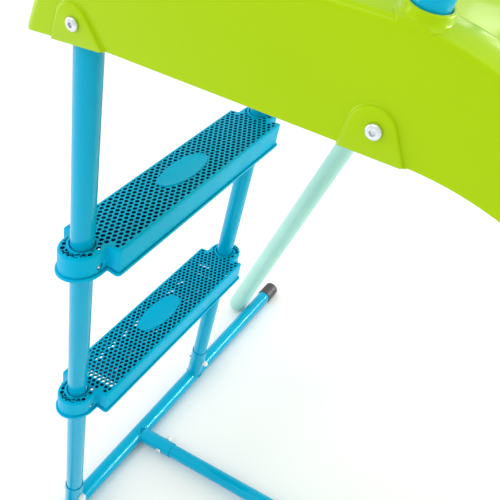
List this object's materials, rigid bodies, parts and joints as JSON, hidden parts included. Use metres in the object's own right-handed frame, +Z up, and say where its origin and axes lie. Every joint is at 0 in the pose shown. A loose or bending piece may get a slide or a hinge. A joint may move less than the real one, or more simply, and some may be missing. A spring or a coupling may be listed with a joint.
{
  "type": "pool slide",
  "caption": "Children's pool slide: leaning two-post ladder with perforated treads, looped handrails, moulded trough, floor frame with capped cross bars and a swing-up stabiliser leg.",
  "frame": {"origin": "middle of the footprint's bounding box, on the ground", "axes": "+X from the ladder towards the slide's exit, +Y towards the side with the stabiliser leg, +Z up"},
  "size_m": [1.8588, 0.956, 1.1777],
  "materials": {
    "lime_plastic": "glossy moulded polyethylene",
    "tread_plastic": "satin moulded plastic",
    "blue_paint": "gloss powder coat",
    "mint_plastic": "satin moulded plastic",
    "cap_plastic": "fine-grained moulded plastic",
    "nut_cap": "pale plastic-covered nut",
    "zinc_steel": "bright zinc"
  },
  "bodies": {
    "frame": {"slide_body": "lime_plastic", "upper_tread_deck": "tread_plastic", "lower_tread_deck": "tread_plastic", "upper_tread_frame": "tread_plastic", "lower_tread_frame": "tread_plastic", "tread_screws": "zinc_steel", "handrail_plugs": "cap_plastic", "rear_base_bar": "blue_paint", "front_base_bar": "blue_paint", "centre_tube_rear": "blue_paint", "centre_tube_front": "blue_paint", "socket_bolts": "zinc_steel", "socket_nuts": "nut_cap", "centre_bolts": "zinc_steel", "centre_nuts": "nut_cap", "rear_ear_bolts": "zinc_steel", "rear_ear_nuts": "zinc_steel", "front_ear_bolts": "zinc_steel", "front_ear_nuts": "zinc_steel", "exit_bolts": "zinc_steel", "exit_nuts": "zinc_steel", "leg_pivot_bolt": "zinc_steel", "leg_pivot_nut": "zinc_steel", "leg_washer": "cap_plastic", "post_near": "blue_paint", "post_far": "blue_paint", "handrail_near": "blue_paint", "handrail_far": "blue_paint", "rear_cap_near": "cap_plastic", "rear_cap_far": "cap_plastic", "front_cap_near": "cap_plastic", "front_cap_far": "cap_plastic"},
    "leg": {"stabiliser_leg": "mint_plastic"}
  },
  "joints": [
    {"name": "leg_swing", "type": "hinge", "parent": "frame", "child": "leg", "pos_m": [-0.46255, 0.207, 0.862], "axis": [0, 1, 0], "range_deg": [0, 62]}
  ]
}
